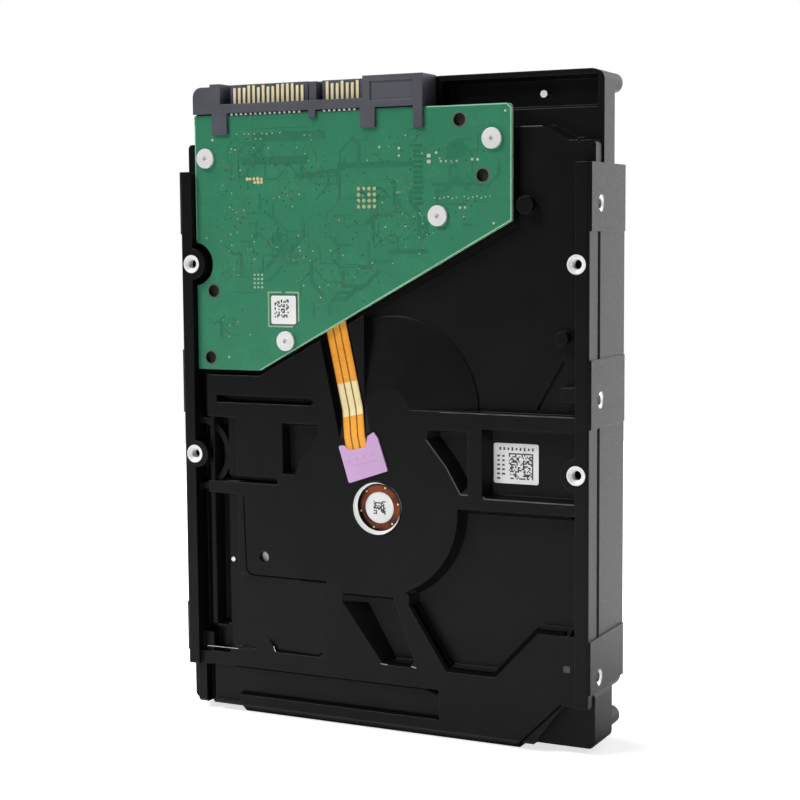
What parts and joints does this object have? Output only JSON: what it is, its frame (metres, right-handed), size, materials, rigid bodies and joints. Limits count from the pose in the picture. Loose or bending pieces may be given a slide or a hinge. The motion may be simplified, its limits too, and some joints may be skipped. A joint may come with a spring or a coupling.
{
  "type": "hard disk drive",
  "caption": "Rectangular hard disk drive with a ribbed black cast base, green circuit board, edge connector, and spinning discs with a swinging head arm inside.",
  "frame": {"origin": "under the middle of the drive, which stands on the end away from its connector", "axes": "+Z from the standing end to the connector end, -Y out of the mounting face with the circuit board, +X to the right when that face is looked at"},
  "size_m": [0.1016, 0.0262, 0.147],
  "materials": {
    "black_casting": "satin black e-coat over cast aluminium",
    "cover_sheet": "satin",
    "seal_rubber": "matte",
    "screw_steel": "bright plated",
    "label_white": "matte printed label stock",
    "machined_bright": "turned",
    "copper_ring": "polished",
    "bearing_bronze": "turned",
    "stator_steel": "coated laminations",
    "copper_wire": "enamelled",
    "polished_steel": "polished",
    "hub_aluminium": "turned",
    "magnet_plating": "nickel plated",
    "platter_mirror": "polished",
    "frame_plastic": "moulded",
    "slider_ceramic": "ceramic",
    "flex_orange": "polyimide film",
    "yoke_plating": "nickel plated",
    "ramp_plastic": "moulded",
    "filter_white": "fibre",
    "filter_case": "moulded",
    "board_green": "solder mask",
    "foam_black": "closed-cell foam",
    "chip_black": "moulded",
    "component_tan": "ceramic",
    "connector_plastic": "moulded",
    "contact_gold": "gold plated",
    "patch_lilac": "soft film"
  },
  "bodies": {
    "base": {"base_casting": "black_casting", "top_cover": "cover_sheet", "cover_gasket": "seal_rubber", "cover_screws": "screw_steel", "cover_label": "label_white", "motor_bracket": "machined_bright", "thrust_seal_ring": "copper_ring", "thrust_plate": "screw_steel", "spindle_code_label": "label_white", "bearing_sleeve": "bearing_bronze", "stator_core": "stator_steel", "stator_coils": "copper_wire", "pivot_shaft": "polished_steel", "pivot_bearings": "polished_steel", "flex_loop": "flex_orange", "flex_bracket": "frame_plastic", "flex_header": "connector_plastic", "lower_yoke": "yoke_plating", "upper_yoke": "yoke_plating", "coil_magnets": "magnet_plating", "yoke_standoffs": "screw_steel", "crash_stops": "seal_rubber", "load_ramp": "ramp_plastic", "recirculation_filter": "filter_white", "breather_filter": "filter_case", "circuit_board": "board_green", "board_screws": "screw_steel", "board_foam": "foam_black", "controller_chip": "chip_black", "memory_chip": "chip_black", "motor_driver_chip": "chip_black", "flash_chip": "chip_black", "board_components": "component_tan", "connector_housing": "connector_plastic", "power_contacts": "contact_gold", "signal_contacts": "contact_gold", "motor_flex": "flex_orange", "flex_patch": "patch_lilac", "board_code_label": "label_white", "base_code_label": "label_white"},
    "rotor": {"spindle_shaft": "polished_steel", "rotor_hub": "hub_aluminium", "rotor_magnet": "magnet_plating", "platter_1": "platter_mirror", "platter_2": "platter_mirror", "platter_3": "platter_mirror", "platter_spacers": "hub_aluminium", "disc_clamp": "hub_aluminium", "clamp_screws": "screw_steel"},
    "actuator": {"pivot_sleeve": "polished_steel", "actuator_comb": "hub_aluminium", "voice_coil": "copper_wire", "coil_frame": "frame_plastic", "head_suspensions": "polished_steel", "head_sliders": "slider_ceramic", "preamp_flex": "flex_orange"}
  },
  "joints": [
    {"name": "spindle", "type": "hinge", "parent": "base", "child": "rotor", "pos_m": [0, 0.00195, 0.0512], "axis": [0, 1, 0], "continuous": true},
    {"name": "actuator_swing", "type": "hinge", "parent": "base", "child": "actuator", "pos_m": [0.00907, 0.00195, 0.1067], "axis": [0, 1, 0], "range_deg": [0, 38.1]}
  ]
}
